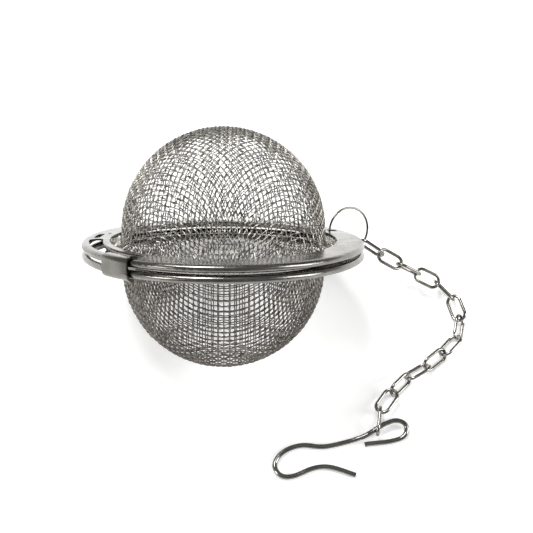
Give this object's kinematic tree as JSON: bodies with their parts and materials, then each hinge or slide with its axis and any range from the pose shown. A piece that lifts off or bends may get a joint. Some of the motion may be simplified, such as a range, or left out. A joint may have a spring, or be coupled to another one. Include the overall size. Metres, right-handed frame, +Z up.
{
  "type": "tea infuser",
  "caption": "Mesh ball tea infuser in two hinged bowls with a latch clip, and a chain ending in a hook for the cup's edge.",
  "frame": {"origin": "on the table, under the middle of the footprint of the ball, chain and hook", "axes": "+Z up from the table; the ball lies towards -X leaning back towards +Y, the chain runs round +X and the hook lies in front at -Y"},
  "size_m": [0.0994, 0.0794, 0.0559],
  "materials": {
    "mesh": "woven stainless wire",
    "rim": "satin",
    "bright": "polished stainless steel"
  },
  "bodies": {
    "lower_half": {"lower_mesh": "mesh", "lower_rim": "rim"},
    "upper_half": {"upper_mesh": "mesh", "upper_rim": "rim"},
    "latch": {"latch_clip": "bright"},
    "ring": {"jump_ring": "bright"},
    "link_01": {"chain_link_01": "bright"},
    "link_02": {"chain_link_02": "bright"},
    "link_03": {"chain_link_03": "bright"},
    "link_04": {"chain_link_04": "bright"},
    "link_05": {"chain_link_05": "bright"},
    "link_06": {"chain_link_06": "bright"},
    "link_07": {"chain_link_07": "bright"},
    "link_08": {"chain_link_08": "bright"},
    "link_09": {"chain_link_09": "bright"},
    "link_10": {"chain_link_10": "bright"},
    "link_11": {"chain_link_11": "bright"},
    "link_12": {"chain_link_12": "bright"},
    "link_13": {"chain_link_13": "bright"},
    "hook": {"hook": "bright"}
  },
  "joints": [
    {"name": "lid_hinge", "type": "hinge", "parent": "lower_half", "child": "upper_half", "pos_m": [0.0158, 0.02037, 0.01607], "axis": [-0.4384, 0.5619, -0.7015], "range_deg": [0, 90]},
    {"name": "latch_swing", "type": "hinge", "parent": "lower_half", "child": "latch", "pos_m": [-0.03855, -0.00513, 0.04599], "axis": [0.7193, -0.4343, 0.5422], "range_deg": [0, 85]},
    {"name": "ring_slide_round", "type": "hinge", "parent": "upper_half", "child": "ring", "pos_m": [0.01755, 0.02238, 0.01659], "axis": [0.4384, -0.5619, 0.7015], "range_deg": [-10, 20]},
    {"name": "chain_at_ring", "type": "hinge", "parent": "lower_half", "child": "link_01", "pos_m": [0.02173, 0.02082, 0.01273], "axis": [0.5534, 0.7838, 0.282], "range_deg": [-25, 25]},
    {"name": "link_02_on_link_01", "type": "hinge", "parent": "link_01", "child": "link_02", "pos_m": [0.02649, 0.01829, 0.01087], "axis": [0.2454, -0.2292, 0.9419], "range_deg": [-12, 12]},
    {"name": "link_03_on_link_02", "type": "hinge", "parent": "link_02", "child": "link_03", "pos_m": [0.03168, 0.0164, 0.00853], "axis": [-0.2956, 0.467, -0.8333], "range_deg": [-12, 12]},
    {"name": "link_04_on_link_03", "type": "hinge", "parent": "link_03", "child": "link_04", "pos_m": [0.03688, 0.01501, 0.0059], "axis": [-0.2956, 0.467, -0.8333], "range_deg": [-12, 12]},
    {"name": "link_05_on_link_04", "type": "hinge", "parent": "link_04", "child": "link_05", "pos_m": [0.04225, 0.01327, 0.00385], "axis": [-0.1703, -0.5597, 0.811], "range_deg": [-12, 12]},
    {"name": "link_06_on_link_05", "type": "hinge", "parent": "link_05", "child": "link_06", "pos_m": [0.04651, 0.00942, 0.00209], "axis": [-0.1703, -0.5597, 0.811], "range_deg": [-12, 12]},
    {"name": "link_07_on_link_06", "type": "hinge", "parent": "link_06", "child": "link_07", "pos_m": [0.04806, 0.00363, 0.00188], "axis": [0.5974, -0.1489, -0.788], "range_deg": [-12, 12]},
    {"name": "link_08_on_link_07", "type": "hinge", "parent": "link_07", "child": "link_08", "pos_m": [0.04661, -0.00219, 0.00188], "axis": [0.5974, -0.1489, -0.788], "range_deg": [-12, 12]},
    {"name": "link_09_on_link_08", "type": "hinge", "parent": "link_08", "child": "link_09", "pos_m": [0.04244, -0.0065, 0.00188], "axis": [-0.4277, 0.5474, 0.7193], "range_deg": [-12, 12]},
    {"name": "link_10_on_link_09", "type": "hinge", "parent": "link_09", "child": "link_10", "pos_m": [0.03771, -0.0102, 0.00188], "axis": [-0.4277, 0.5474, 0.7193], "range_deg": [-12, 12]},
    {"name": "link_11_on_link_10", "type": "hinge", "parent": "link_10", "child": "link_11", "pos_m": [0.03257, -0.01329, 0.00199], "axis": [0.3573, -0.4121, -0.8382], "range_deg": [-12, 12]},
    {"name": "link_12_on_link_11", "type": "hinge", "parent": "link_11", "child": "link_12", "pos_m": [0.02826, -0.01745, 0.0022], "axis": [0.3573, -0.4121, -0.8382], "range_deg": [-12, 12]},
    {"name": "link_13_on_link_12", "type": "hinge", "parent": "link_12", "child": "link_13", "pos_m": [0.02465, -0.02225, 0.0023], "axis": [-0.1029, 0.0182, 0.9945], "range_deg": [-12, 12]},
    {"name": "hook_on_chain", "type": "hinge", "parent": "link_13", "child": "hook", "pos_m": [0.02382, -0.02692, 0.0023], "axis": [0.8754, 0.4616, 0.1433], "range_deg": [-25, 25]}
  ]
}
